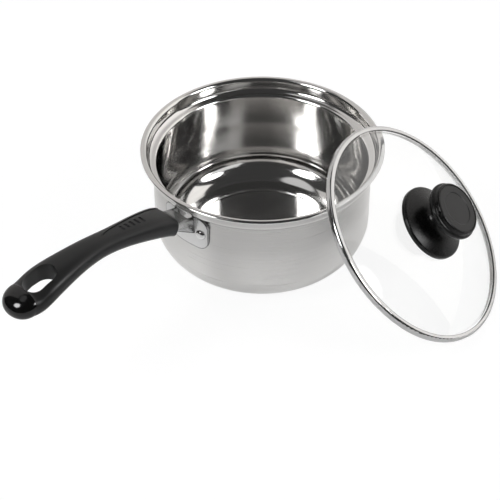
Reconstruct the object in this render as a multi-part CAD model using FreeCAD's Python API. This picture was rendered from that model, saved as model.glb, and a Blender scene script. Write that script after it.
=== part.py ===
import FreeCAD, Part
import math
import os

V = FreeCAD.Vector
Z = V(0, 0, 1)

# ---- pan (revolved about Z, underside of the base on z = 0) ----
PAN_H = 87.2            # height of the lip
SHEET = 1.8             # sheet thickness
LIP_R = 86.1            # outer edge of the lip
COLLAR_R = 81.4         # inside of the collar at the lip
LEDGE_R = 80.4          # inside of the collar above the ledge
LEDGE_Z = 76.9          # height of the ledge that carries the lid
NECK_R = 74.9           # inside of the neck below the ledge
BELLY_R = 77.5          # inside of the wall near the bottom bend
BEND_R = 24.5           # inside radius between wall and floor
RING_R = 51.5           # pressed ring in the floor
RING_W = 2.6
RING_D = 0.5

# ---- bracket and rivets ----
ARM_SLOPE = 19.0        # degrees the arm rises away from the pan
ARM_TOP = 73.4          # top of the arm at the wall
ARM_W = 18.4
ARM_H = 8.0             # height of the arm inside the grip
ARM_T = 1.8
ARM_END = 104.0         # the wide channel stops just inside the grip
CHEEK_LOW = 61.0        # the arm's side walls reach down to this height at the pan
TANG_W = 11.6
TANG_H = 6.0
TANG_END = 118.0
WEB_START = 83.6        # the top web stops short of the wall
WING_R = 79.7           # outside of the wings
WING_HALF = 19.8
WING_LOW = 47.5
WING_TOP = 74.0
WING_CORNER = 8.0
RIVET_ANGLE = 10.3
RIVET_Z = 60.5
RIVET_D = 4.8
RIVET_HEAD_R = 3.8
RIVET_HEAD_H = 2.9
RIVET_INNER_R = 4.2
RIVET_INNER_H = 1.4

# ---- handle: distance from the pan axis, centre height, half width, half height, squareness ----
STATIONS = [
    (98.0, 76.6, 13.2, 6.8, 3.2),
    (104.3, 79.9, 12.6, 7.2, 3.0),
    (117.0, 84.4, 11.2, 7.1, 2.8),
    (129.6, 88.0, 9.9, 6.5, 2.7),
    (144.2, 91.4, 9.0, 5.9, 2.6),
    (158.8, 93.9, 9.3, 5.9, 2.6),
    (173.2, 94.6, 10.6, 6.2, 2.6),
    (187.5, 94.0, 12.4, 6.8, 2.6),
    (201.7, 91.7, 13.7, 7.5, 2.6),
    (215.0, 90.3, 13.0, 7.9, 2.5),
]
END_TILT = 18.0         # the seam with the cap leans back by this much
CAP_LEN = 11.4
CAP_DROP = 1.5
CAP_STEM_R = 3.6
CAP_STEM_LEN = 3.0
HOLE_X = 200.6          # centre of the hanging hole
HOLE_LEN = 23.0
HOLE_W = 15.4
POCKET_GROW = 1.8       # the hole is wider by this much from below
POCKET_TOP = 87.5
PANEL_TIP = 150.0
PANEL_D = 0.6
GROOVES = 5
GROOVE_FIRST = 116.5
GROOVE_STEP = 4.3
GROOVE_W = 2.0
GROOVE_REACH = 3.1
SOCKET_GAP = 0.15
SCREW_X = 111.0
SCREW_R = 2.0
SCREW_HEAD_R = 3.2
SCREW_HEAD_H = 1.6
SCREW_SEAT = 5.8        # from the tang's web down to the screw's seat
NUT_R = 3.7
NUT_H = 3.2

# ---- lid, in its own frame: axis on Z, rim's upper edge on z = 0 ----
LID_R = 80.0
RIM_H = 4.8             # height of the rim's band
RIM_INNER_R = 76.4      # both lips of the rim end here
SKIRT_T = 0.8           # short foot under the inner edge, which stands on the pan's ledge
SKIRT_DEPTH = 6.8
GLASS_R = 76.6          # exposed glass
GLASS_EDGE_R = 78.6     # edge of the glass inside the rim
GLASS_T = 3.5
DOME_SPHERE_R = 230.7
DOME_H = 12.65
KNOB_BASE_R = 26.3
KNOB_WAIST_R = 11.0
KNOB_HEAD_R = 20.2
KNOB_DISC_R = 16.9
LID_TILT = 41.6
LID_TURN = -71.13       # direction the lid leans out to, about Z
LID_AT = V(27.8, -119.0, 56.5)


def solid(shape):
    """One clean solid from a boolean result."""
    return max(shape.removeSplitter().Solids, key=lambda s: s.Volume)


def unit(a, b):
    d = (b[0] - a[0], b[1] - a[1])
    n = math.hypot(*d)
    return d[0] / n, d[1] / n


def offset_points(points, dist):
    """Corner points of the polyline moved sideways (to the right of travel)."""
    out = []
    for i, p in enumerate(points):
        dirs = []
        if i > 0:
            dirs.append(unit(points[i - 1], p))
        if i < len(points) - 1:
            dirs.append(unit(p, points[i + 1]))
        n0 = (dirs[0][1], -dirs[0][0])
        n1 = (dirs[-1][1], -dirs[-1][0])
        k = dist / (1 + n0[0] * n1[0] + n0[1] * n1[1])
        out.append((p[0] + k * (n0[0] + n1[0]), p[1] + k * (n0[1] + n1[1])))
    return out


def rounded(points, radii):
    """Edges of a polyline in the XZ plane; radii[i] rounds corner i."""
    edges = []
    last = V(points[0][0], 0, points[0][1])
    for i in range(1, len(points)):
        corner = V(points[i][0], 0, points[i][1])
        if i == len(points) - 1 or radii[i] == 0:
            edges.append(Part.LineSegment(last, corner).toShape())
            last = corner
            continue
        a = unit(points[i], points[i - 1])
        b = unit(points[i], points[i + 1])
        half = math.acos(a[0] * b[0] + a[1] * b[1]) / 2
        back = radii[i] / math.tan(half)
        start = corner + V(a[0], 0, a[1]) * back
        end = corner + V(b[0], 0, b[1]) * back
        m = unit((0, 0), (a[0] + b[0], a[1] + b[1]))
        reach = radii[i] / math.sin(half) - radii[i]
        mid = corner + V(m[0], 0, m[1]) * reach
        if (start - last).Length > 1e-6:
            edges.append(Part.LineSegment(last, start).toShape())
        edges.append(Part.Arc(start, mid, end).toShape())
        last = end
    return edges


def turned(points, radii=None):
    """Closed profile revolved about Z."""
    radii = radii or [0] * len(points)
    face = Part.Face(Part.Wire(rounded(points + [points[0]], radii + [0])))
    return face.revolve(V(0, 0, 0), Z, 360)


def sheet_turned(points, radii, thick):
    """A sheet of even thickness revolved about Z; the points are its inside.

    The outside lies to the right of travel.  The free end is fully rounded.
    """
    outer = offset_points(points, thick)
    outer_radii = [0] * len(points)
    for i in range(1, len(points) - 1):
        a = unit(points[i - 1], points[i])
        b = unit(points[i], points[i + 1])
        left = a[0] * b[1] - a[1] * b[0] > 0
        outer_radii[i] = radii[i] + (thick if left else -thick)
    inside = rounded(points, radii)
    outside = rounded(outer, outer_radii)
    end_a = V(points[-1][0], 0, points[-1][1])
    end_b = V(outer[-1][0], 0, outer[-1][1])
    d = unit(points[-2], points[-1])
    nose = (end_a + end_b) * 0.5 + V(d[0], 0, d[1]) * (thick / 2)
    tip = Part.Arc(end_a, nose, end_b).toShape()
    start = Part.LineSegment(V(outer[0][0], 0, outer[0][1]), V(points[0][0], 0, points[0][1])).toShape()
    wire = Part.Wire(inside + [tip] + outside[::-1] + [start])
    return Part.Face(wire).revolve(V(0, 0, 0), Z, 360)


def oval_wire(x, z, tilt, a, b, power=2.5, count=32):
    """Rounded section standing across the handle at distance x from the pan axis."""
    pts = []
    for i in range(count):
        t = 2 * math.pi * i / count
        c, s = math.cos(t), math.sin(t)
        y = a * math.copysign(abs(c) ** (2 / power), c)
        h = b * math.copysign(abs(s) ** (2 / power), s)
        pts.append(V(-x - h * math.sin(tilt), y, z + h * math.cos(tilt)))
    curve = Part.BSplineCurve()
    curve.interpolate(Points=pts, PeriodicFlag=True)
    return Part.Wire(curve.toShape())


def at_arm(shape):
    """Turn a shape built level along -X so that it rises with the arm."""
    shape.rotate(V(-WING_R, 0, ARM_TOP), V(0, 1, 0), ARM_SLOPE)
    return shape


def block(x_end, width, height, r, grow=0.0):
    """Level block under the arm's top, from inside the pan out to x_end, long edges rounded."""
    w, h = width + 2 * grow, height + 2 * grow
    box = Part.makeBox(x_end + grow - 70.0, w, h, V(-x_end - grow, -w / 2, ARM_TOP - height - grow))
    edges = [e for e in box.Edges if abs(e.tangentAt(e.FirstParameter).x) > 0.99]
    return box.makeFillet(r + grow, edges)


def channel(x_end, width):
    """Level space under a web of thickness ARM_T, open below, from inside the pan out to x_end."""
    return Part.makeBox(x_end - 70.0, width, 30.0, V(-x_end, -width / 2, ARM_TOP - ARM_T - 30.0))


# ---------------------------------------------------------------- pan
floor_z = SHEET
pan_points = [
    (0, floor_z),
    (BELLY_R + 0.6, floor_z),
    (BELLY_R - 0.7, 50.0),
    (NECK_R, LEDGE_Z - 1.0),
    (LEDGE_R + 0.6, LEDGE_Z),
    (COLLAR_R, PAN_H),
    (LIP_R - SHEET / 2, PAN_H - 0.6),
]
pan_radii = [0, BEND_R, 90.0, 2.2, 4.0, 2.6, 0]
pan = sheet_turned(pan_points, pan_radii, SHEET)
ring = turned([
    (RING_R - RING_W / 2, floor_z + 1),
    (RING_R - RING_W / 2 + 0.3, floor_z - RING_D),
    (RING_R + RING_W / 2 - 0.3, floor_z - RING_D),
    (RING_R + RING_W / 2, floor_z + 1),
])
pan = pan.cut(ring)

# the filled outside of the pan, used to seat the wings on the wall
outer_points = offset_points(pan_points, SHEET)
core = turned(
    [(0, 0)] + outer_points[1:4] + [(NECK_R + SHEET, PAN_H), (0, PAN_H)],
    [0, BEND_R + SHEET, 90.0 + SHEET, 0, 0, 0],
)

# ---------------------------------------------------------------- bracket
channel_w = ARM_W - 2 * ARM_T
tang_w = TANG_W - 2 * ARM_T
hollow = channel(ARM_END - ARM_T, channel_w).fuse(channel(TANG_END + 1, tang_w))
cheek_end = V(-ARM_END + 8.0, -ARM_W / 2, ARM_TOP - ARM_H + 2.0)
cheek_top = V(-70.0, -ARM_W / 2, ARM_TOP - ARM_H + 2.0)
cheek_low = V(-70.0, -ARM_W / 2, CHEEK_LOW - 2.0)
cheek = Part.Face(Part.makePolygon([cheek_end, cheek_top, cheek_low, cheek_end]))
cheek = cheek.extrude(V(0, ARM_W, 0))
arm = block(ARM_END, ARM_W, ARM_H, 2.6).fuse([block(TANG_END, TANG_W, TANG_H, 2.2), cheek])
arm = at_arm(arm.cut(hollow))
window = Part.makeBox(30.0, channel_w, 30.0, V(-WEB_START, -channel_w / 2, CHEEK_LOW))
arm = arm.cut(window)
wing_block = Part.makeBox(40.0, 2 * WING_HALF, WING_TOP - WING_LOW, V(-100, -WING_HALF, WING_LOW))
wing_edges = [e for e in wing_block.Edges if abs(e.tangentAt(e.FirstParameter).x) > 0.99]
wing_block = wing_block.makeFillet(WING_CORNER, wing_edges)
wings = Part.makeCylinder(WING_R, 40.0, V(0, 0, 40)).common(wing_block)
wings = wings.cut(Part.makeBox(60.0, channel_w, 60.0, V(-110, -channel_w / 2, CHEEK_LOW)))
bracket = solid(arm.fuse(wings).cut(core))

rivets = {}
for name, sign in (("rivet_left", 1), ("rivet_right", -1)):
    angle = 180 + sign * RIVET_ANGLE
    out = V(math.cos(math.radians(angle)), math.sin(math.radians(angle)), 0)
    centre = V(0, 0, RIVET_Z)
    shank = Part.makeCylinder(RIVET_D / 2, 30.0, centre + out * 60.0, out)
    pan = pan.cut(shank)
    bracket = bracket.cut(shank)
    head = turned(
        [(0, 0), (RIVET_HEAD_R, 0), (RIVET_HEAD_R, RIVET_HEAD_H), (0, RIVET_HEAD_H)],
        [0, 0, 2.7, 0],
    )
    inner = turned(
        [(0, 0), (RIVET_INNER_R, 0), (RIVET_INNER_R, RIVET_INNER_H), (0, RIVET_INNER_H)],
        [0, 0, 1.0, 0],
    )
    seat_out = WING_R - 0.9
    seat_in = math.sqrt((BELLY_R - 1.3) ** 2 - RIVET_INNER_R ** 2)
    body = Part.makeCylinder(RIVET_D / 2, seat_out - seat_in + 1.6, V(0, 0, seat_in - 0.8))
    head.translate(V(0, 0, seat_out))
    foot = Part.makeCylinder(RIVET_HEAD_R, 1.2, V(0, 0, seat_out - 1.2))
    inner.rotate(V(0, 0, 0), V(1, 0, 0), 180)
    inner.translate(V(0, 0, seat_in))
    collar = Part.makeCylinder(RIVET_INNER_R, 1.0, V(0, 0, seat_in))
    rivet = body.fuse([head, foot, inner, collar])
    turn = FreeCAD.Rotation(Z, out)
    rivet.Placement = FreeCAD.Placement(centre, turn)
    rivets[name] = rivet

# ---------------------------------------------------------------- handle
wires = []
for i, (x, z, a, b, power) in enumerate(STATIONS):
    lo = STATIONS[max(i - 1, 0)]
    hi = STATIONS[min(i + 1, len(STATIONS) - 1)]
    slope = math.atan2(hi[1] - lo[1], hi[0] - lo[0])
    if i == len(STATIONS) - 1:
        slope = math.radians(END_TILT)
    wires.append(oval_wire(x, z, -slope, a, b, power))
grip_full = Part.makeLoft(wires, True, False)

socket = at_arm(
    block(ARM_END, ARM_W, ARM_H, 2.6, SOCKET_GAP).fuse(block(TANG_END, TANG_W, TANG_H, 2.2, SOCKET_GAP)))
grip = grip_full.cut(socket)



def slot_hole(grow, z_low, z_high):
    """Straight slot through the end of the handle."""
    r = HOLE_W / 2 + grow
    half = (HOLE_LEN - HOLE_W) / 2
    tall = z_high - z_low
    ends = [Part.makeCylinder(r, tall, V(-HOLE_X + side * half, 0, z_low)) for side in (-1, 1)]
    middle = Part.makeBox(2 * half, 2 * r, tall, V(-HOLE_X - half, -r, z_low))
    return middle.fuse(ends).removeSplitter()


grip = grip.cut(slot_hole(0.0, 60.0, 120.0)).cut(slot_hole(POCKET_GROW, 60.0, POCKET_TOP))

# recessed thumb panel: the skin of the grip, cut to a drop shape
lowered = grip_full.copy()
lowered.translate(V(0, 0, -PANEL_D))
outline = Part.BSplineCurve()
outline.interpolate([
    V(-90, 8.4, 60), V(-106, 7.5, 60), V(-122, 6.3, 60), V(-136, 4.6, 60), V(-146, 2.6, 60),
    V(-PANEL_TIP, 0, 60),
    V(-146, -2.6, 60), V(-136, -4.6, 60), V(-122, -6.3, 60), V(-106, -7.5, 60), V(-90, -8.4, 60),
])
close = Part.LineSegment(V(-90, -8.4, 60), V(-90, 8.4, 60)).toShape()
drop = Part.Face(Part.Wire([outline.toShape(), close])).extrude(V(0, 0, 60))
grip = grip.cut(drop.common(grip_full).cut(lowered))
for i in range(GROOVES):
    x = GROOVE_FIRST + i * GROOVE_STEP
    reach = GROOVE_REACH - 0.15 * i
    bar = Part.makeCylinder(GROOVE_W / 2, 2 * reach, V(0, -reach, 0), V(0, 1, 0))
    z_top = max(v.Z for v in grip_full.common(Part.makeBox(0.2, 0.2, 60, V(-x - 0.1, -0.1, 50))).Vertexes)
    bar.translate(V(-x, 0, z_top - PANEL_D))
    grip = grip.cut(bar)

# screw from below through the grip into the nut under the arm's web
rise = math.radians(ARM_SLOPE)
web_low = ARM_TOP - ARM_T / math.cos(rise) + math.tan(rise) * (SCREW_X - WING_R)
axis_up = V(math.sin(rise), 0, math.cos(rise))
web_point = V(-SCREW_X, 0, web_low)
nut = Part.makeCylinder(NUT_R, NUT_H, web_point - axis_up * NUT_H, axis_up)
nut = nut.cut(Part.makeCylinder(SCREW_R + 0.05, NUT_H + 2, web_point - axis_up * (NUT_H + 1), axis_up))
head_top = web_point - axis_up * SCREW_SEAT
grip = grip.cut(Part.makeCylinder(SCREW_R + 0.3, 20.0, web_point - axis_up * 20.0, axis_up))
grip = grip.cut(Part.makeCylinder(SCREW_HEAD_R + 0.3, 20.0, head_top - axis_up * 20.0, axis_up))
screw = Part.makeCylinder(SCREW_R, SCREW_SEAT - 0.4, head_top, axis_up)
screw_head = turned(
    [(0, 0), (SCREW_HEAD_R, 0), (SCREW_HEAD_R, SCREW_HEAD_H), (0, SCREW_HEAD_H)],
    [0, 0.8, 0, 0],
)
slot_a = Part.makeBox(0.9, 4.0, 1.1, V(-0.45, -2.0, 0))
slot_b = Part.makeBox(4.0, 0.9, 1.1, V(-2.0, -0.45, 0))
screw_head = screw_head.cut(slot_a.fuse(slot_b))
screw_head.Placement = FreeCAD.Placement(head_top - axis_up * SCREW_HEAD_H, FreeCAD.Rotation(Z, axis_up))
screw = screw.fuse(screw_head)

cap_x, cap_z, cap_a, cap_b, cap_power = STATIONS[-1]
cap_tilt = -math.radians(END_TILT)
cap_wires = [oval_wire(cap_x, cap_z, cap_tilt, cap_a, cap_b, cap_power)]
for k in range(1, 9):
    t = math.radians(90 * k / 8.6)
    shrink = math.cos(t) ** 0.92
    cap_wires.append(oval_wire(
        cap_x + CAP_LEN * math.sin(t), cap_z - CAP_DROP * math.sin(t) ** 2,
        cap_tilt * (1 - math.sin(t)), cap_a * shrink, cap_b * shrink, cap_power - 0.5 * k / 8,
    ))
cap = Part.makeLoft(cap_wires, True, False)
stem = Part.makeCylinder(CAP_STEM_R, CAP_STEM_LEN + 1.5, V(-cap_x + CAP_STEM_LEN, 0, cap_z), V(-1, 0, 0))
cap = cap.fuse(stem)
grip = grip.cut(Part.makeCylinder(
    CAP_STEM_R + 0.1, CAP_STEM_LEN + 2.0, V(-cap_x + CAP_STEM_LEN + 0.2, 0, cap_z), V(-1, 0, 0)))

# ---------------------------------------------------------------- lid
def dome(r):
    """Height of the glass's upper face above the rim's upper edge."""
    return DOME_H - DOME_SPHERE_R + math.sqrt(DOME_SPHERE_R ** 2 - r ** 2)


def arc3(r0, z0, r1, z1, r2, z2):
    return Part.Arc(V(r0, 0, z0), V(r1, 0, z1), V(r2, 0, z2)).toShape()


def line(r0, z0, r1, z1):
    return Part.LineSegment(V(r0, 0, z0), V(r1, 0, z1)).toShape()


EDGE_Z = -0.9           # upper face of the glass where the rim grips it
GLASS_HOLE_R = 4.2
top_in, top_out = dome(GLASS_HOLE_R), dome(GLASS_R - 1.0)
glass_wire = Part.Wire([
    arc3(GLASS_HOLE_R, top_in, 45.0, dome(45.0), GLASS_R - 1.0, top_out),
    line(GLASS_R - 1.0, top_out, GLASS_EDGE_R, EDGE_Z),
    arc3(GLASS_EDGE_R, EDGE_Z, GLASS_EDGE_R + 0.6, EDGE_Z - 1.3, GLASS_EDGE_R, EDGE_Z - 2.6),
    line(GLASS_EDGE_R, EDGE_Z - 2.6, GLASS_R - 1.6, top_out - GLASS_T),
    arc3(GLASS_R - 1.6, top_out - GLASS_T, 45.0, dome(45.0) - GLASS_T, GLASS_HOLE_R, top_in - GLASS_T),
    line(GLASS_HOLE_R, top_in - GLASS_T, GLASS_HOLE_R, top_in),
])
glass = Part.Face(glass_wire).revolve(V(0, 0, 0), Z, 360)

rim = turned(
    [
        (RIM_INNER_R, 0.35),
        (LID_R, 0.0),
        (LID_R, -RIM_H),
        (RIM_INNER_R + SKIRT_T, -RIM_H),
        (RIM_INNER_R + SKIRT_T, -SKIRT_DEPTH),
        (RIM_INNER_R, -SKIRT_DEPTH),
        (RIM_INNER_R, -RIM_H + 0.9),
        (GLASS_EDGE_R + 0.7, -RIM_H + 0.9),
        (GLASS_EDGE_R + 0.7, -0.75),
        (RIM_INNER_R, -0.25),
    ],
    [0, 1.8, 1.4, 0.3, 0.3, 0.3, 0.3, 0.4, 0.3, 0],
)


def on_dome(points, radii, r_out, r_in=0.0):
    """A turned piece whose underside follows the glass between two radii."""
    body = turned(points, radii)
    below = Part.makeSphere(DOME_SPHERE_R, V(0, 0, DOME_H - DOME_SPHERE_R + 0.02))
    return body.cut(below)


base_h = dome(KNOB_BASE_R)
PAD_H = 0.8
pad_top = DOME_H + PAD_H
knob_skirt = on_dome(
    [
        (9.6, pad_top), (9.6, base_h - 2), (KNOB_BASE_R, base_h - 2), (KNOB_BASE_R, base_h + 3.0),
        (18.5, base_h + 6.2), (KNOB_WAIST_R, base_h + 9.5), (KNOB_WAIST_R, base_h + 15.5),
        (0, base_h + 15.5), (0, pad_top),
    ],
    [0, 0, 0, 1.6, 14.0, 5.0, 0, 0, 0], KNOB_BASE_R,
)
head_low = base_h + 15.5
knob_head = turned(
    [
        (0, head_low), (14.2, head_low), (KNOB_HEAD_R, head_low + 3.4), (KNOB_HEAD_R, head_low + 6.6),
        (KNOB_HEAD_R - 1.3, head_low + 7.2), (KNOB_DISC_R + 1.5, head_low + 10.4),
        (KNOB_DISC_R, head_low + 10.4), (KNOB_DISC_R, head_low + 9.2), (0, head_low + 9.2),
    ],
    [0, 2.0, 3.0, 1.2, 0.8, 1.4, 0.4, 0, 0],
)
disc_low = head_low + 9.2
knob_disc = turned(
    [
        (0, disc_low), (KNOB_DISC_R - 0.1, disc_low), (KNOB_DISC_R - 0.1, disc_low + 0.9),
        (KNOB_DISC_R - 5.0, disc_low + 0.9), (KNOB_DISC_R - 5.6, disc_low + 0.55), (0, disc_low + 0.55),
    ],
    [0, 0, 0.4, 0.3, 0.3, 0],
)

INSERT_R = 4.0
INSERT_LEN = 12.0
insert_low = pad_top + 0.6
insert = turned(
    [
        (2.55, insert_low), (INSERT_R, insert_low), (INSERT_R, insert_low + 4.0),
        (INSERT_R - 0.5, insert_low + 4.6), (INSERT_R - 0.5, insert_low + 6.4), (INSERT_R, insert_low + 7.0),
        (INSERT_R, insert_low + INSERT_LEN), (2.55, insert_low + INSERT_LEN),
    ],
)
pocket = Part.makeCylinder(INSERT_R + 0.03, INSERT_LEN + 1.4, V(0, 0, pad_top - 0.5))
knob_skirt = knob_skirt.cut(pocket)

glass_low = DOME_H - GLASS_T
pad_upper = turned([(2.8, DOME_H), (9.4, DOME_H), (9.4, pad_top), (2.8, pad_top)])
pad_upper = pad_upper.cut(Part.makeSphere(DOME_SPHERE_R, V(0, 0, DOME_H - DOME_SPHERE_R)))
neck = turned([
    (2.8, DOME_H + 0.1), (GLASS_HOLE_R - 0.1, DOME_H + 0.1), (GLASS_HOLE_R - 0.1, DOME_H - 1.6), (2.8, DOME_H - 1.6),
])
pad_upper = pad_upper.fuse(neck)
washer_top = glass_low - 1.4
pad_lower = turned([
    (2.8, glass_low + 0.6), (8.5, glass_low + 0.6), (8.5, washer_top), (2.8, washer_top),
])
inside = Part.makeSphere(DOME_SPHERE_R - GLASS_T - 0.02, V(0, 0, DOME_H - DOME_SPHERE_R))
pad_lower = pad_lower.common(inside)
washer = turned(
    [(2.7, washer_top), (8.2, washer_top), (8.2, washer_top - 1.2), (2.7, washer_top - 1.2)],
    [0, 0.3, 0.5, 0],
)
knob_screw = turned(
    [
        (0, washer_top - 4.2), (5.0, washer_top - 4.2), (5.0, washer_top - 1.2), (2.5, washer_top - 1.2),
        (2.5, insert_low + INSERT_LEN - 1.0), (2.0, insert_low + INSERT_LEN - 0.4),
        (0, insert_low + INSERT_LEN - 0.4),
    ],
    [0, 1.6, 0, 0, 0, 0, 0],
)
cross = Part.makeBox(1.2, 5.6, 1.8, V(-0.6, -2.8, washer_top - 4.3))
cross = cross.fuse(Part.makeBox(5.6, 1.2, 1.8, V(-2.8, -0.6, washer_top - 4.3)))
knob_screw = knob_screw.cut(cross)

# the lid leans on the lip of the pan with its lowest edge on the table
lean = FreeCAD.Rotation(Z, LID_TURN).multiply(FreeCAD.Rotation(V(0, 1, 0), LID_TILT))
lid_place = FreeCAD.Placement(LID_AT, lean)

lid_parts = {
    "lid_glass": glass,
    "lid_rim": rim,
    "knob_skirt": knob_skirt,
    "knob_head": knob_head,
    "knob_disc": knob_disc,
    "knob_insert": insert,
    "knob_screw": knob_screw,
    "knob_washer": washer,
    "knob_pad_upper": pad_upper,
    "knob_pad_lower": pad_lower,
}
for shape in lid_parts.values():
    shape.Placement = lid_place.multiply(shape.Placement)

for name in rivets:
    rivets[name] = rivets[name].cut(pan).cut(bracket)

parts = {
    "pan_body": pan,
    "handle_bracket": bracket,
    "handle_grip": grip,
    "handle_end_cap": cap,
    "handle_nut": nut,
    "handle_screw": screw,
}
parts.update(rivets)
parts.update(lid_parts)

os.makedirs("parts", exist_ok=True)
for name, shape in parts.items():
    solid(shape).exportStep("parts/" + name + ".step")
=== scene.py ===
import math

import bpy
from mathutils import Matrix, Vector


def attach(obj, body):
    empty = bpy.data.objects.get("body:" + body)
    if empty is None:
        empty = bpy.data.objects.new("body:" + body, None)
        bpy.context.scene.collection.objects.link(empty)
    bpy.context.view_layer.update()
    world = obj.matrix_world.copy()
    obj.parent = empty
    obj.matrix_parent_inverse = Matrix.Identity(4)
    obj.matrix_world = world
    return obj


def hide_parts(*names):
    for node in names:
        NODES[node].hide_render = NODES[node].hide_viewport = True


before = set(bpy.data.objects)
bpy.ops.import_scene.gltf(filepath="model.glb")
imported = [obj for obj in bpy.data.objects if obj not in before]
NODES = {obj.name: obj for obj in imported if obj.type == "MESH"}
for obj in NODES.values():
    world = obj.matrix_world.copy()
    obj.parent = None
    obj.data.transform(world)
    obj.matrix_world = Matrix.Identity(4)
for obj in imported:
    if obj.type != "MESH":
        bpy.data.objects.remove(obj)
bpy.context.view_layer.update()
MM = 0.001

# camera
CAM_AZIMUTH = -47.6
CAM_ELEVATION = 42.465
CAM_ROLL = -0.468
CAM_DISTANCE = 0.7614
CAM_TARGET = Vector((-0.04379, -0.02795, 0.03131))
CAM_LENS = 77.41

# pan profile in mm, (radius, height) along the inside of the sheet, as in the CAD
SHEET = 1.8
PAN_FLOOR = 1.8
PAN_POINTS = [
    (0.0, 1.8), (78.1, 1.8), (76.8, 50.0), (74.9, 75.9), (81.0, 76.9), (81.4, 87.2), (85.2, 86.6),
]
PAN_RADII = [0, 24.5, 90.0, 2.2, 4.0, 2.6, 0]

# pressed ring in the floor, wider and deeper than the CAD one so that it reads in a render
RING_R, RING_W, RING_D = 51.5, 3.2, 0.9
RING_SLANT = 0.3        # how far each side of the ring leans
RING_FILLET = 0.3
RING_CLEAR = 0.5        # profile points this close to the ring give way to it

AROUND = 288            # sides of a turned mesh
ARC_STEP = math.radians(4)
RUN_STEP = 2.5          # straight runs are divided into pieces of at least this, in mm
SHARP_ANGLE = math.radians(32)
NOSE_STEPS = 8          # sides of the lip's rounded edge
LIP_BACK = 6            # rows under the lip that are still polished
TINY = 1e-6             # mm, a radius or run shorter than this counts as none

# surface patterns
LINES_ALONG, LINES_ACROSS = 1.2, 2600.0     # turning lines, per turn and per metre
NOISE_LOW, NOISE_HIGH = 0.3, 0.7            # most of a noise lies between these
TINT_LOW, TINT_HIGH = 0.92, 1.06            # steel's darkest and palest, as a share of its value
SKIN_LOW, SKIN_HIGH = 0.82, 1.18            # the same for plastic
COAT_ROUGHNESS = 0.04
NODE_SAMPLES = 8        # of the bevel and occlusion nodes
FLAT_MATCH = 0.985      # bevelled and true normal agree at least this well away from an edge
EDGE_MATCH = 0.86       # and this well on a sharp one

# ------------------------------------------------------------- node helpers
class Net:
    """A material's node tree with short ways to add and link nodes."""

    def __init__(self, name):
        self.mat = bpy.data.materials.new(name)
        self.mat.use_nodes = True
        self.tree = self.mat.node_tree
        self.bsdf = self.tree.nodes["Principled BSDF"]

    def put(self, socket, value):
        if isinstance(value, bpy.types.NodeSocket):
            self.tree.links.new(value, socket)
        else:
            socket.default_value = value

    def add(self, kind, out=0, props=None, **inputs):
        node = self.tree.nodes.new("ShaderNode" + kind)
        for key, value in (props or {}).items():
            setattr(node, key, value)
        for key, value in inputs.items():
            numbered = key[0] == "i" and key[1:].isdigit()
            slot = int(key[1:]) if numbered else key.replace("_", " ")
            self.put(node.inputs[slot], value)
        return node.outputs[out]

    def shader(self, **inputs):
        for key, value in inputs.items():
            self.put(self.bsdf.inputs[key.replace("_", " ")], value)

    def math(self, op, a, b=0.0):
        return self.add("Math", props={"operation": op}, i0=a, i1=b)

    def object_coords(self):
        return self.tree.nodes.new("ShaderNodeTexCoord").outputs["Object"]

    def noise(self, vector, scale, detail=3.0, rough=0.5):
        return self.add("TexNoise", Vector=vector, Scale=scale, Detail=detail, Roughness=rough)

    def spread(self, value, low, high, start=0.0, end=1.0):
        return self.add(
            "MapRange", Value=value, From_Min=start, From_Max=end, To_Min=low, To_Max=high,
        )

    def spread_noise(self, noise, low, high):
        return self.spread(noise, low, high, NOISE_LOW, NOISE_HIGH)

    def mix(self, factor, a, b):
        node = self.tree.nodes.new("ShaderNodeMix")
        node.data_type = "RGBA"
        self.put(node.inputs[0], factor)
        self.put(node.inputs[6], a)
        self.put(node.inputs[7], b)
        return node.outputs[2]

    def bump(self, height, distance, normal=None):
        out = self.add("Bump", Height=height, Distance=distance, Strength=1.0)
        if normal is not None:
            self.put(out.node.inputs["Normal"], normal)
        return out

    def around(self, vector):
        """Angle about Z in turns, distance from Z and height."""
        split = self.tree.nodes.new("ShaderNodeSeparateXYZ")
        self.put(split.inputs[0], vector)
        x, y, z = split.outputs
        turn = self.math("DIVIDE", self.math("ARCTAN2", y, x), 2 * math.pi)
        squares = self.math("ADD", self.math("MULTIPLY", x, x), self.math("MULTIPLY", y, y))
        return turn, self.math("SQRT", squares), z

    def join(self, x, y, z):
        return self.add("CombineXYZ", X=x, Y=y, Z=z)


def grey(v, warm=0.0):
    """Grey of that value, with a little more red and less blue where warm is given."""
    return (v * (1 + warm), v, v * (1 - warm), 1.0)


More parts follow.
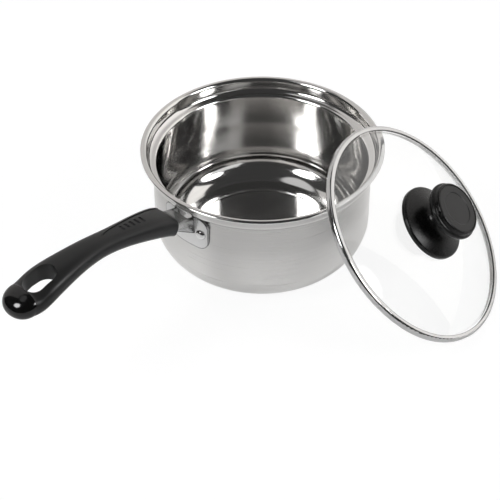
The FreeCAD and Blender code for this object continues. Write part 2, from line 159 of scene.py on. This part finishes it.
# ------------------------------------------------------------- materials
def steel(name, value, rough, spread, anisotropy, grain, wave=0.0, colour=(1.0, 0.99, 0.975)):
    """Turned steel: fine lines run round the Z axis.  grain and wave are bump heights in mm."""
    net = Net(name)
    turn, radius, z = net.around(net.object_coords())
    lines = net.join(
        net.math("MULTIPLY", turn, LINES_ALONG),
        net.math("MULTIPLY", radius, LINES_ACROSS),
        net.math("MULTIPLY", z, LINES_ACROSS),
    )
    fine = net.noise(lines, 1.0, 4.0, 0.7)
    broad = net.noise(net.object_coords(), 26.0, 3.0, 0.5)
    both = net.math("ADD", net.math("MULTIPLY", fine, 0.75), net.math("MULTIPLY", broad, 0.25))
    dark = [c * value * TINT_LOW for c in colour] + [1.0]
    pale = [c * value * TINT_HIGH for c in colour] + [1.0]
    tint = net.mix(net.spread_noise(both, 0.0, 1.0), dark, pale)
    net.shader(Base_Color=tint, Metallic=1.0)
    net.shader(Roughness=net.spread_noise(both, rough - spread, rough + spread))
    if anisotropy:
        net.shader(Anisotropic=anisotropy, Anisotropic_Rotation=0.25)
        tangent = net.add("Tangent", props={"direction_type": "RADIAL", "axis": "Z"})
        net.put(net.bsdf.inputs["Tangent"], tangent)
    normal = net.bump(fine, grain * MM)
    if wave:
        uneven = net.noise(net.object_coords(), 18.0, 2.0, 0.4)
        normal = net.bump(uneven, wave * MM, normal)
    net.put(net.bsdf.inputs["Normal"], normal)
    return net.mat


def painted_shade_steel(name, value, rough, spread, radius, dark, crevice):
    """Pressed steel with painted shade in the base colour, darker along edges and in crevices.

    The edges carry a painted reflection of a dark room, the crevices painted shade; both stay
    when the lights change.
    radius and crevice, in mm, are how far it reaches; dark is the share of its brightness
    that a sharp edge keeps.
    """
    net = Net(name)
    where = net.object_coords()
    fine = net.noise(where, 900.0, 4.0, 0.7)
    broad = net.noise(where, 30.0, 3.0, 0.5)
    both = net.math("ADD", net.math("MULTIPLY", fine, 0.6), net.math("MULTIPLY", broad, 0.4))
    soft = net.add("Bevel", props={"samples": NODE_SAMPLES}, Radius=radius * MM)
    flat = net.tree.nodes.new("ShaderNodeNewGeometry").outputs["Normal"]
    match = net.tree.nodes.new("ShaderNodeVectorMath")
    match.operation = "DOT_PRODUCT"
    net.put(match.inputs[0], soft)
    net.put(match.inputs[1], flat)
    edge = net.spread(match.outputs["Value"], dark, 1.0, EDGE_MATCH, FLAT_MATCH)
    occlusion = net.add(
        "AmbientOcclusion", out=1, props={"samples": NODE_SAMPLES}, Distance=crevice * MM,
    )
    shade = net.math("MULTIPLY", edge, net.spread(occlusion, 0.25, 1.0, 0.25, 0.75))
    patchy = net.spread_noise(both, value * TINT_LOW, value * TINT_HIGH)
    shade = net.math("MULTIPLY", shade, patchy)
    net.shader(Base_Color=net.join(shade, shade, shade), Metallic=1.0)
    net.shader(Roughness=net.spread_noise(both, rough - spread, rough + spread))
    net.put(net.bsdf.inputs["Normal"], net.bump(fine, 0.001 * MM, soft))
    return net.mat


def plastic(name, colour, rough, spread, grain, specular=0.5):
    """Moulded plastic with a fine skin and faint uneven gloss."""
    net = Net(name)
    where = net.object_coords()
    fine = net.noise(where, 1800.0, 3.0, 0.6)
    broad = net.noise(where, 45.0, 4.0, 0.6)
    dark = [c * SKIN_LOW for c in colour] + [1.0]
    pale = [min(1.0, c * SKIN_HIGH) for c in colour] + [1.0]
    tint = net.mix(broad, dark, pale)
    mixed = net.math("ADD", net.math("MULTIPLY", fine, 0.5), net.math("MULTIPLY", broad, 0.5))
    net.shader(Base_Color=tint, Roughness=net.spread_noise(mixed, rough - spread, rough + spread))
    net.bsdf.inputs["Coat Weight"].default_value = 0.0
    net.bsdf.inputs["Coat Roughness"].default_value = COAT_ROUGHNESS
    net.bsdf.inputs["Specular IOR Level"].default_value = specular
    net.put(net.bsdf.inputs["Normal"], net.bump(fine, grain * MM))
    return net.mat


def glass():
    """Clear glass with the faintest uneven haze."""
    net = Net("lid_glass_clear")
    where = net.object_coords()
    haze = net.noise(where, 60.0, 3.0, 0.6)
    net.shader(
        Base_Color=(0.998, 1.0, 0.999, 1.0), Roughness=net.spread(haze, 0.0, 0.012, 0.35, 0.75),
        IOR=1.5, Transmission_Weight=1.0,
    )
    return net.mat


MAT = {
    "steel_body": steel("steel_body_satin", 0.59, 0.25, 0.05, 0.5, 0.003),
    "steel_bright": steel("steel_bright_polished", 0.70, 0.09, 0.025, 0.0, 0.0004, wave=0.02),
    "steel_floor": steel("steel_floor_satin", 0.56, 0.22, 0.04, 0.4, 0.0005),
    # bracket, rivets and lid rim: painted shade along edges and in crevices, in the base colour
    "steel_clip": painted_shade_steel("steel_bracket_pressed", 0.60, 0.22, 0.04, 1.9, 0.06, 9.0),
    "steel_rivet": painted_shade_steel("steel_rivet_polished", 0.66, 0.10, 0.02, 0.4, 0.4, 3.0),
    "steel_rim": painted_shade_steel("steel_rim_polished", 0.62, 0.14, 0.03, 0.8, 0.08, 3.0),
    "grip_plastic": plastic("grip_matt_black", (0.012, 0.012, 0.0125), 0.36, 0.05, 0.02, 0.32),
    "cap_plastic": plastic("cap_gloss_black", (0.003, 0.003, 0.003), 0.12, 0.03, 0.001, 0.5),
    "knob_plastic": plastic("knob_satin_black", (0.004, 0.004, 0.004), 0.27, 0.04, 0.004, 0.26),
    "disc_plastic": plastic("disc_satin_grey", (0.010, 0.010, 0.0105), 0.34, 0.05, 0.006, 0.28),
    "glass": glass(),
    "silicone": plastic("silicone_clear_grey", (0.55, 0.55, 0.53), 0.5, 0.06, 0.01),
    "brass": steel("brass_turned", 0.80, 0.3, 0.06, 0.0, 0.004, colour=(1.0, 0.78, 0.40)),
    "zinc": steel("zinc_plated", 0.6, 0.25, 0.06, 0.0, 0.003),
}

# nodes that share the record's bright steel slot but have a look of their own, steel with painted
# shade at edges and in crevices
LOOKS = {"handle_bracket": "steel_clip", "rivet_left": "steel_rivet", "rivet_right": "steel_rivet"}


def dress(obj, slot):
    """Gives a CAD node its material."""
    obj.data.materials.clear()
    obj.data.materials.append(MAT[LOOKS.get(obj.name, slot)])


SLOTS = {
    "handle_bracket": "steel_bright", "rivet_left": "steel_bright", "rivet_right": "steel_bright",
    "handle_grip": "grip_plastic", "handle_end_cap": "cap_plastic",
    "handle_nut": "zinc", "handle_screw": "zinc",
    "lid_glass": "glass", "lid_rim": "steel_rim",
    "knob_skirt": "knob_plastic", "knob_head": "knob_plastic",
    "knob_disc": "disc_plastic", "knob_insert": "brass",
    "knob_screw": "zinc", "knob_washer": "zinc",
    "knob_pad_upper": "silicone", "knob_pad_lower": "silicone",
}
for node, slot in SLOTS.items():
    dress(NODES[node], slot)


# ------------------------------------------------------------- turned pieces
def unit(a, b):
    """Direction from a to b."""
    d = (b[0] - a[0], b[1] - a[1])
    n = math.hypot(*d)
    return d[0] / n, d[1] / n


def sideways(points, dist):
    """The polyline's corners moved to the right of travel."""
    out = []
    for i, p in enumerate(points):
        dirs = []
        if i > 0:
            dirs.append(unit(points[i - 1], p))
        if i < len(points) - 1:
            dirs.append(unit(p, points[i + 1]))
        n0 = (dirs[0][1], -dirs[0][0])
        n1 = (dirs[-1][1], -dirs[-1][0])
        k = dist / (1 + n0[0] * n1[0] + n0[1] * n1[1])
        out.append((p[0] + k * (n0[0] + n1[0]), p[1] + k * (n0[1] + n1[1])))
    return out


def rounded(points, radii):
    """The polyline with its corners turned into arcs, and long runs divided."""
    out = [points[0]]
    for i in range(1, len(points)):
        p = points[i]
        if i == len(points) - 1 or radii[i] == 0:
            out.append(p)
            continue
        a, b = unit(p, points[i - 1]), unit(p, points[i + 1])
        half = math.acos(max(-1, min(1, a[0] * b[0] + a[1] * b[1]))) / 2
        back = radii[i] / math.tan(half)
        m = unit((0, 0), (a[0] + b[0], a[1] + b[1]))
        centre = (
            p[0] + m[0] * radii[i] / math.sin(half),
            p[1] + m[1] * radii[i] / math.sin(half),
        )
        start = (p[0] + a[0] * back, p[1] + a[1] * back)
        end = (p[0] + b[0] * back, p[1] + b[1] * back)
        t0 = math.atan2(start[1] - centre[1], start[0] - centre[0])
        t1 = math.atan2(end[1] - centre[1], end[0] - centre[0])
        turn = (t1 - t0 + math.pi) % (2 * math.pi) - math.pi
        n = max(4, int(abs(turn) / ARC_STEP))
        for k in range(n + 1):
            t = t0 + turn * k / n
            out.append((centre[0] + radii[i] * math.cos(t), centre[1] + radii[i] * math.sin(t)))
    dense = [out[0]]
    for p in out[1:]:
        q = dense[-1]
        run = math.hypot(p[0] - q[0], p[1] - q[1])
        if run < TINY:
            continue
        n = max(1, int(run / RUN_STEP))
        for k in range(1, n + 1):
            dense.append((q[0] + (p[0] - q[0]) * k / n, q[1] + (p[1] - q[1]) * k / n))
    return dense


def lathe(name, profile, slots, pick, body, stands_for):
    """Mesh turned about Z from (radius, height) points in mm.

    pick(i) gives the place in slots of the material between points i and i + 1.
    """
    verts, faces, kinds, rows = [], [], [], []
    for r, z in profile:
        if r < TINY:
            rows.append([len(verts)] * AROUND)
            verts.append((0.0, 0.0, z * MM))
            continue
        rows.append(list(range(len(verts), len(verts) + AROUND)))
        for k in range(AROUND):
            t = 2 * math.pi * k / AROUND
            verts.append((r * math.cos(t) * MM, r * math.sin(t) * MM, z * MM))
    for i, (a, b) in enumerate(zip(rows, rows[1:])):
        for k in range(AROUND):
            m = (k + 1) % AROUND
            faces.append(list(dict.fromkeys([a[k], a[m], b[m], b[k]])))
            kinds.append(pick(i))
    mesh = bpy.data.meshes.new(name)
    mesh.from_pydata(verts, [], faces)
    mesh.polygons.foreach_set("material_index", kinds)
    mesh.polygons.foreach_set("use_smooth", [True] * len(faces))
    mesh.set_sharp_from_angle(angle=SHARP_ANGLE)
    mesh.update()
    obj = bpy.data.objects.new(name, mesh)
    bpy.context.scene.collection.objects.link(obj)
    for slot in slots:
        mesh.materials.append(MAT[slot])
    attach(obj, body)
    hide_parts(stands_for)


def pan_shell():
    """The pan's sheet: polished inside, satin floor inside the ring, brushed outside."""
    low, high = RING_R - RING_W / 2, RING_R + RING_W / 2
    on_floor = PAN_FLOOR + 0.0001
    inside = rounded(PAN_POINTS, PAN_RADII)
    ring = [
        (low, PAN_FLOOR), (low + RING_SLANT, PAN_FLOOR - RING_D),
        (high - RING_SLANT, PAN_FLOOR - RING_D), (high, PAN_FLOOR),
    ]
    flat = [p for p in inside if p[1] < on_floor and p[0] < low - RING_CLEAR]
    rest = [p for p in inside if p[1] >= on_floor or p[0] > high + RING_CLEAR]
    ring = rounded([flat[-1]] + ring + [rest[0]], [0] + [RING_FILLET] * len(ring) + [0])
    inside = flat + ring[1:-1] + rest

    outer_radii = [0] * len(PAN_POINTS)
    for i in range(1, len(PAN_POINTS) - 1):
        a, b = unit(PAN_POINTS[i - 1], PAN_POINTS[i]), unit(PAN_POINTS[i], PAN_POINTS[i + 1])
        left = a[0] * b[1] - a[1] * b[0] > 0
        outer_radii[i] = PAN_RADII[i] + (SHEET if left else -SHEET)
    outside = rounded(sideways(PAN_POINTS, SHEET), outer_radii)

    # rounded edge of the lip, from the inside face to the outside one
    end_a, end_b = inside[-1], outside[-1]
    mid = ((end_a[0] + end_b[0]) / 2, (end_a[1] + end_b[1]) / 2)
    d = unit(PAN_POINTS[-2], PAN_POINTS[-1])
    side = unit(end_b, end_a)
    nose = []
    for k in range(1, NOSE_STEPS):
        t = math.pi * k / NOSE_STEPS
        c, s = math.cos(t) * SHEET / 2, math.sin(t) * SHEET / 2
        nose.append((mid[0] + side[0] * c + d[0] * s, mid[1] + side[1] * c + d[1] * s))

    polished = len(inside) + len(nose) + LIP_BACK
    base = sum(1 for p in inside if p[1] < on_floor and p[0] < low)
    lathe(
        "pan_shell", inside + nose + outside[::-1],
        slots=["steel_bright", "steel_body", "steel_floor"],
        pick=lambda i: 2 if i < base else 0 if i < polished else 1,
        body="pan", stands_for="pan_body",
    )


pan_shell()

# ------------------------------------------------------------- stage
RIGHT = Vector((0.6743, -0.7385, 0.0))      # level directions seen from the camera
AHEAD = Vector((0.7385, 0.6743, 0.0))

# The floor and wall that the camera sees only glow.  What lights the object and shows in it
# is a second set that the camera does not see: table, sweep and panels.
FLOOR_HALF = 4.0
FLOOR_GLOW, FLOOR_ALBEDO = 0.93, 0.10
TABLE_Z, TABLE_ALBEDO = -0.0002, 0.82
# painted pool of light on the table close to the pan
TABLE_POOL = 0.40                   # extra glow of the table close to the pan
POOL_FROM, POOL_TO = 0.11, 0.17     # metres from the pan's axis over which it fades
WALL_R, WALL_H, WALL_SIDES = 3.6, 6.0, 64
WALL_GLOW = 0.97
SWEEP_R, SWEEP_FROM, SWEEP_TO, SWEEP_TOP, SWEEP_SIDES = 1.6, -72.0, 92.0, 2.6, 32
SWEEP_GLOW, SWEEP_ALBEDO, SWEEP_WARM = 0.62, 0.1, 0.025
SWEEP_RIGHT = 1.8                   # how much brighter the paper's right end is
RIGHT_FROM, RIGHT_TO = 0.5, 1.4     # metres to the right over which it brightens
PANEL_SIDES = 48
AIM = Vector((0.0, 0.0, 0.05))      # the panels face this point
WORLD_GREY = 0.05


def toward(turn, rise):
    """Unit vector turned clockwise from straight ahead and raised, in degrees."""
    t, e = math.radians(turn), math.radians(rise)
    return (RIGHT * math.sin(t) + AHEAD * math.cos(t)) * math.cos(e) + Vector((0, 0, math.sin(e)))


def stage_mesh(name, verts, faces, colour, glow, albedo, seen, shape=None):
    """A piece of the studio.

    The camera sees it where seen is True.  Otherwise it only lights the object and shows in
    reflections.  shape(net) gives the node value that its glow is multiplied by.
    """
    mesh = bpy.data.meshes.new(name)
    mesh.from_pydata(verts, [], faces)
    obj = bpy.data.objects.new(name, mesh)
    bpy.context.scene.collection.objects.link(obj)
    net = Net(name + "_paper")
    net.shader(Base_Color=grey(albedo), Roughness=1.0)
    net.bsdf.inputs["Specular IOR Level"].default_value = 0.0
    net.bsdf.inputs["Emission Color"].default_value = colour
    strength = net.math("MULTIPLY", shape(net), glow) if shape else glow
    net.put(net.bsdf.inputs["Emission Strength"], strength)
    mesh.materials.append(net.mat)
    for ray in ("camera", "transmission"):
        setattr(obj, "visible_" + ray, seen)
    for ray in ("glossy", "diffuse", "shadow", "volume_scatter"):
        setattr(obj, "visible_" + ray, not seen)
    return obj


def square(half, z):
    return [(-half, -half, z), (half, -half, z), (half, half, z), (-half, half, z)], [(0, 1, 2, 3)]


# pale floor that only the camera sees
stage_mesh("floor", *square(FLOOR_HALF, 0.0), grey(1.0), FLOOR_GLOW, FLOOR_ALBEDO, True)


def pool(net):
    """Painted pool of light: the table glows round the base of the pan, fading outward."""
    radius = net.around(net.object_coords())[1]
    return net.spread(radius, 1.0, 0.0, POOL_FROM, POOL_TO)


stage_mesh(
    "table_paper", *square(FLOOR_HALF, TABLE_Z), grey(1.0), TABLE_POOL, TABLE_ALBEDO, False, pool,
)

# pale wall all round, seen only by the camera
verts, faces = [], []
for i in range(WALL_SIDES):
    t = 2 * math.pi * i / WALL_SIDES
    verts += [(WALL_R * math.cos(t), WALL_R * math.sin(t), z) for z in (0.0, WALL_H)]
    k = 2 * ((i + 1) % WALL_SIDES)
    faces.append((2 * i, k, k + 1, 2 * i + 1))
stage_mesh("pale_wall", verts, faces, grey(1.0), WALL_GLOW, 0.0, True)

# curved paper sweep behind the object
verts, faces = [], []
for i in range(SWEEP_SIDES + 1):
    d = toward(SWEEP_FROM + (SWEEP_TO - SWEEP_FROM) * i / SWEEP_SIDES, 0.0) * SWEEP_R
    verts += [(d.x, d.y, 0.0), (d.x, d.y, SWEEP_TOP)]
    if i:
        faces.append((2 * i - 2, 2 * i, 2 * i + 1, 2 * i - 1))


def right_brighter(net):
    """The paper gets brighter toward its right-hand end."""
    split = net.tree.nodes.new("ShaderNodeVectorMath")
    split.operation = "DOT_PRODUCT"
    net.put(split.inputs[0], net.object_coords())
    split.inputs[1].default_value = RIGHT
    return net.spread(split.outputs["Value"], 1.0, SWEEP_RIGHT, RIGHT_FROM, RIGHT_TO)


stage_mesh(
    "sweep_paper", verts, faces, grey(1.0, SWEEP_WARM), SWEEP_GLOW, SWEEP_ALBEDO, False,
    right_brighter,
)


def softbox(name, turn, rise, away, size, radiance, edge=0.35):
    """Round glowing panel in that direction from the object, fading over its outer edge."""
    verts = []
    for k in range(PANEL_SIDES):
        t = 2 * math.pi * k / PANEL_SIDES
        verts.append((math.cos(t) * size[0] / 2, math.sin(t) * size[1] / 2, 0.0))

    def fade(net):
        split = net.tree.nodes.new("ShaderNodeSeparateXYZ")
        net.put(split.inputs[0], net.object_coords())
        parts = []
        for axis in (0, 1):
            part = net.math("DIVIDE", split.outputs[axis], size[axis] / 2)
            parts.append(net.math("POWER", net.math("ABSOLUTE", part), 2.0))
        return net.spread(net.math("ADD", *parts), 1.0, 0.0, 1.0 - edge, 1.0)

    face = tuple(range(PANEL_SIDES))
    obj = stage_mesh(name, verts, [face], grey(1.0), radiance, 0.0, False, fade)
    obj.location = AIM + toward(turn, rise) * away
    obj.rotation_mode = "QUATERNION"
    obj.rotation_quaternion = (AIM - obj.location).to_track_quat("Z", "Y")


softbox("box_left", -122.0, 41.0, 1.5, (0.58, 0.60), 15.0)
softbox("box_right", 116.0, 36.0, 1.5, (0.62, 0.66), 11.0, edge=0.5)
softbox("box_high", -75.0, 70.0, 1.6, (1.0, 0.6), 0.7)

world = bpy.data.worlds.new("studio")
bpy.context.scene.world = world
world.use_nodes = True
world.node_tree.nodes["Background"].inputs[0].default_value = grey(WORLD_GREY)
world.node_tree.nodes["Background"].inputs[1].default_value = 1.0

# ------------------------------------------------------------- camera
cam = bpy.data.objects.new("camera", bpy.data.cameras.new("camera"))
bpy.context.scene.collection.objects.link(cam)
az, el = math.radians(CAM_AZIMUTH), math.radians(CAM_ELEVATION)
back = Vector((math.sin(az) * math.cos(el), -math.cos(az) * math.cos(el), math.sin(el)))
cam.matrix_world = (
    Matrix.Translation(CAM_TARGET + back * CAM_DISTANCE)
    @ back.to_track_quat("Z", "Y").to_matrix().to_4x4()
    @ Matrix.Rotation(math.radians(CAM_ROLL), 4, "Z")
)
cam.data.sensor_width = 36.0
cam.data.lens = CAM_LENS
cam.data.clip_start, cam.data.clip_end = 0.05, 20.0
bpy.context.scene.camera = cam
bpy.context.scene.view_settings.view_transform = "Standard"
